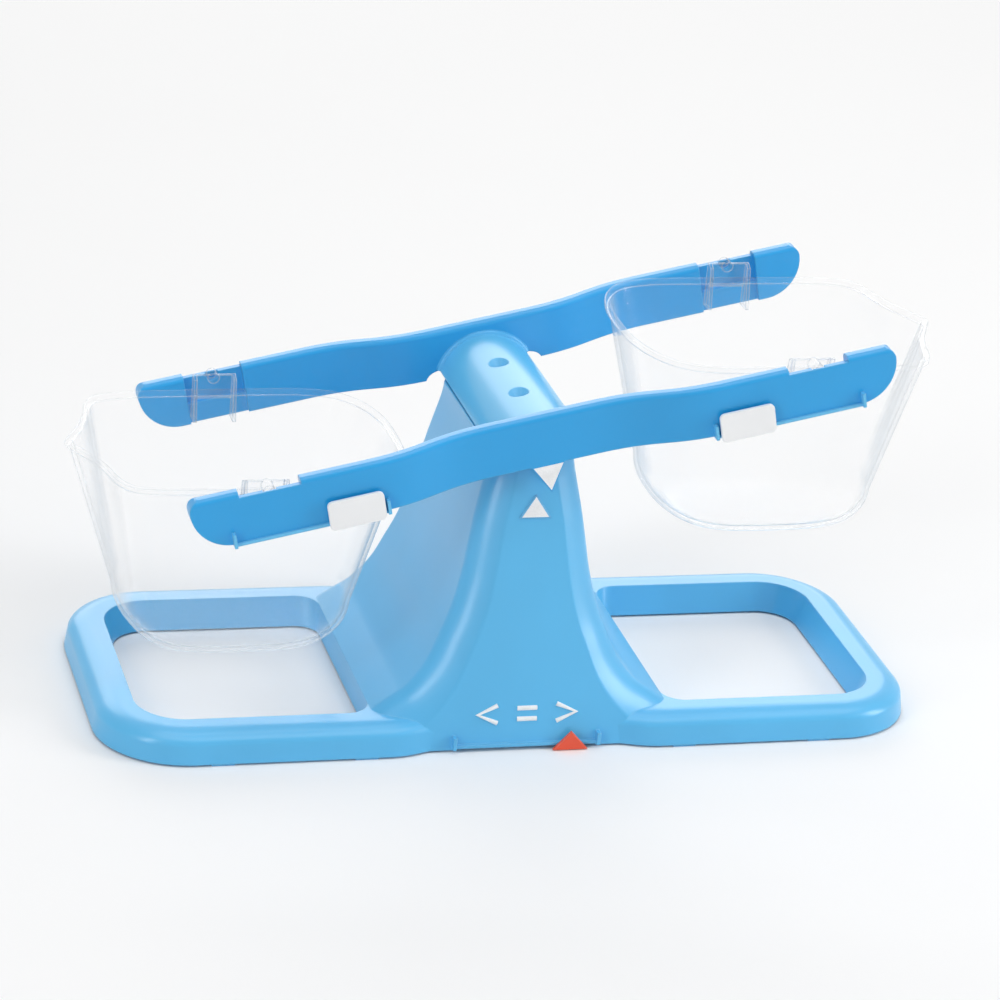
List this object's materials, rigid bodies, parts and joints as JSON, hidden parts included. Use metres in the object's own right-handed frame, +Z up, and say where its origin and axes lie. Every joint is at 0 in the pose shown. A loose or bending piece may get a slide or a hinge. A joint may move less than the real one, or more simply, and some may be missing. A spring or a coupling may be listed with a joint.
{
  "type": "pan balance",
  "caption": "Bucket balance for early maths: clear pouring buckets hang from a tilting beam on a flared tower, with sliding compensators and a comparison indicator.",
  "frame": {"origin": "on the resting plane under the middle of the base", "axes": "+Z up, +X along the beam to the right, -Y the front with the indicator"},
  "size_m": [0.3402, 0.136, 0.1606],
  "materials": {
    "base_plastic": "moulded light blue polystyrene, satin gloss",
    "beam_plastic": "moulded mid blue polystyrene, satin gloss",
    "clear_plastic": "clear colourless moulding, glossy",
    "white_plastic": "moulded white, satin",
    "indicator_plastic": "moulded orange-red, satin"
  },
  "bodies": {
    "base": {"base": "base_plastic"},
    "indicator": {"indicator": "indicator_plastic"},
    "beam": {"beam": "beam_plastic"},
    "compensator_left": {"compensator_left": "white_plastic"},
    "compensator_right": {"compensator_right": "white_plastic"},
    "bucket_left": {"bucket_left": "clear_plastic"},
    "bucket_right": {"bucket_right": "clear_plastic"}
  },
  "joints": [
    {"name": "beam_tilt", "type": "hinge", "parent": "base", "child": "beam", "pos_m": [0, 0, 0.1223], "axis": [0, 1, 0], "range_deg": [0, 24.46]},
    {"name": "bucket_left_swing", "type": "hinge", "parent": "beam", "child": "bucket_left", "pos_m": [-0.10529, 0, 0.10766], "axis": [0, 1, 0], "range_deg": [-32.46, 8]},
    {"name": "bucket_right_swing", "type": "hinge", "parent": "beam", "child": "bucket_right", "pos_m": [0.1019, 0, 0.15257], "axis": [0, 1, 0], "range_deg": [-32.46, 8]},
    {"name": "compensator_left_slide", "type": "slide", "parent": "beam", "child": "compensator_left", "axis": [-0.9773, 0, -0.2118], "range_m": [-0.0005, 0.034]},
    {"name": "compensator_right_slide", "type": "slide", "parent": "beam", "child": "compensator_right", "axis": [0.9773, 0, 0.2118], "range_m": [-0.0005, 0.034]},
    {"name": "indicator_slide", "type": "slide", "parent": "base", "child": "indicator", "axis": [1, 0, 0], "range_m": [-0.0377, 0.0033]}
  ]
}
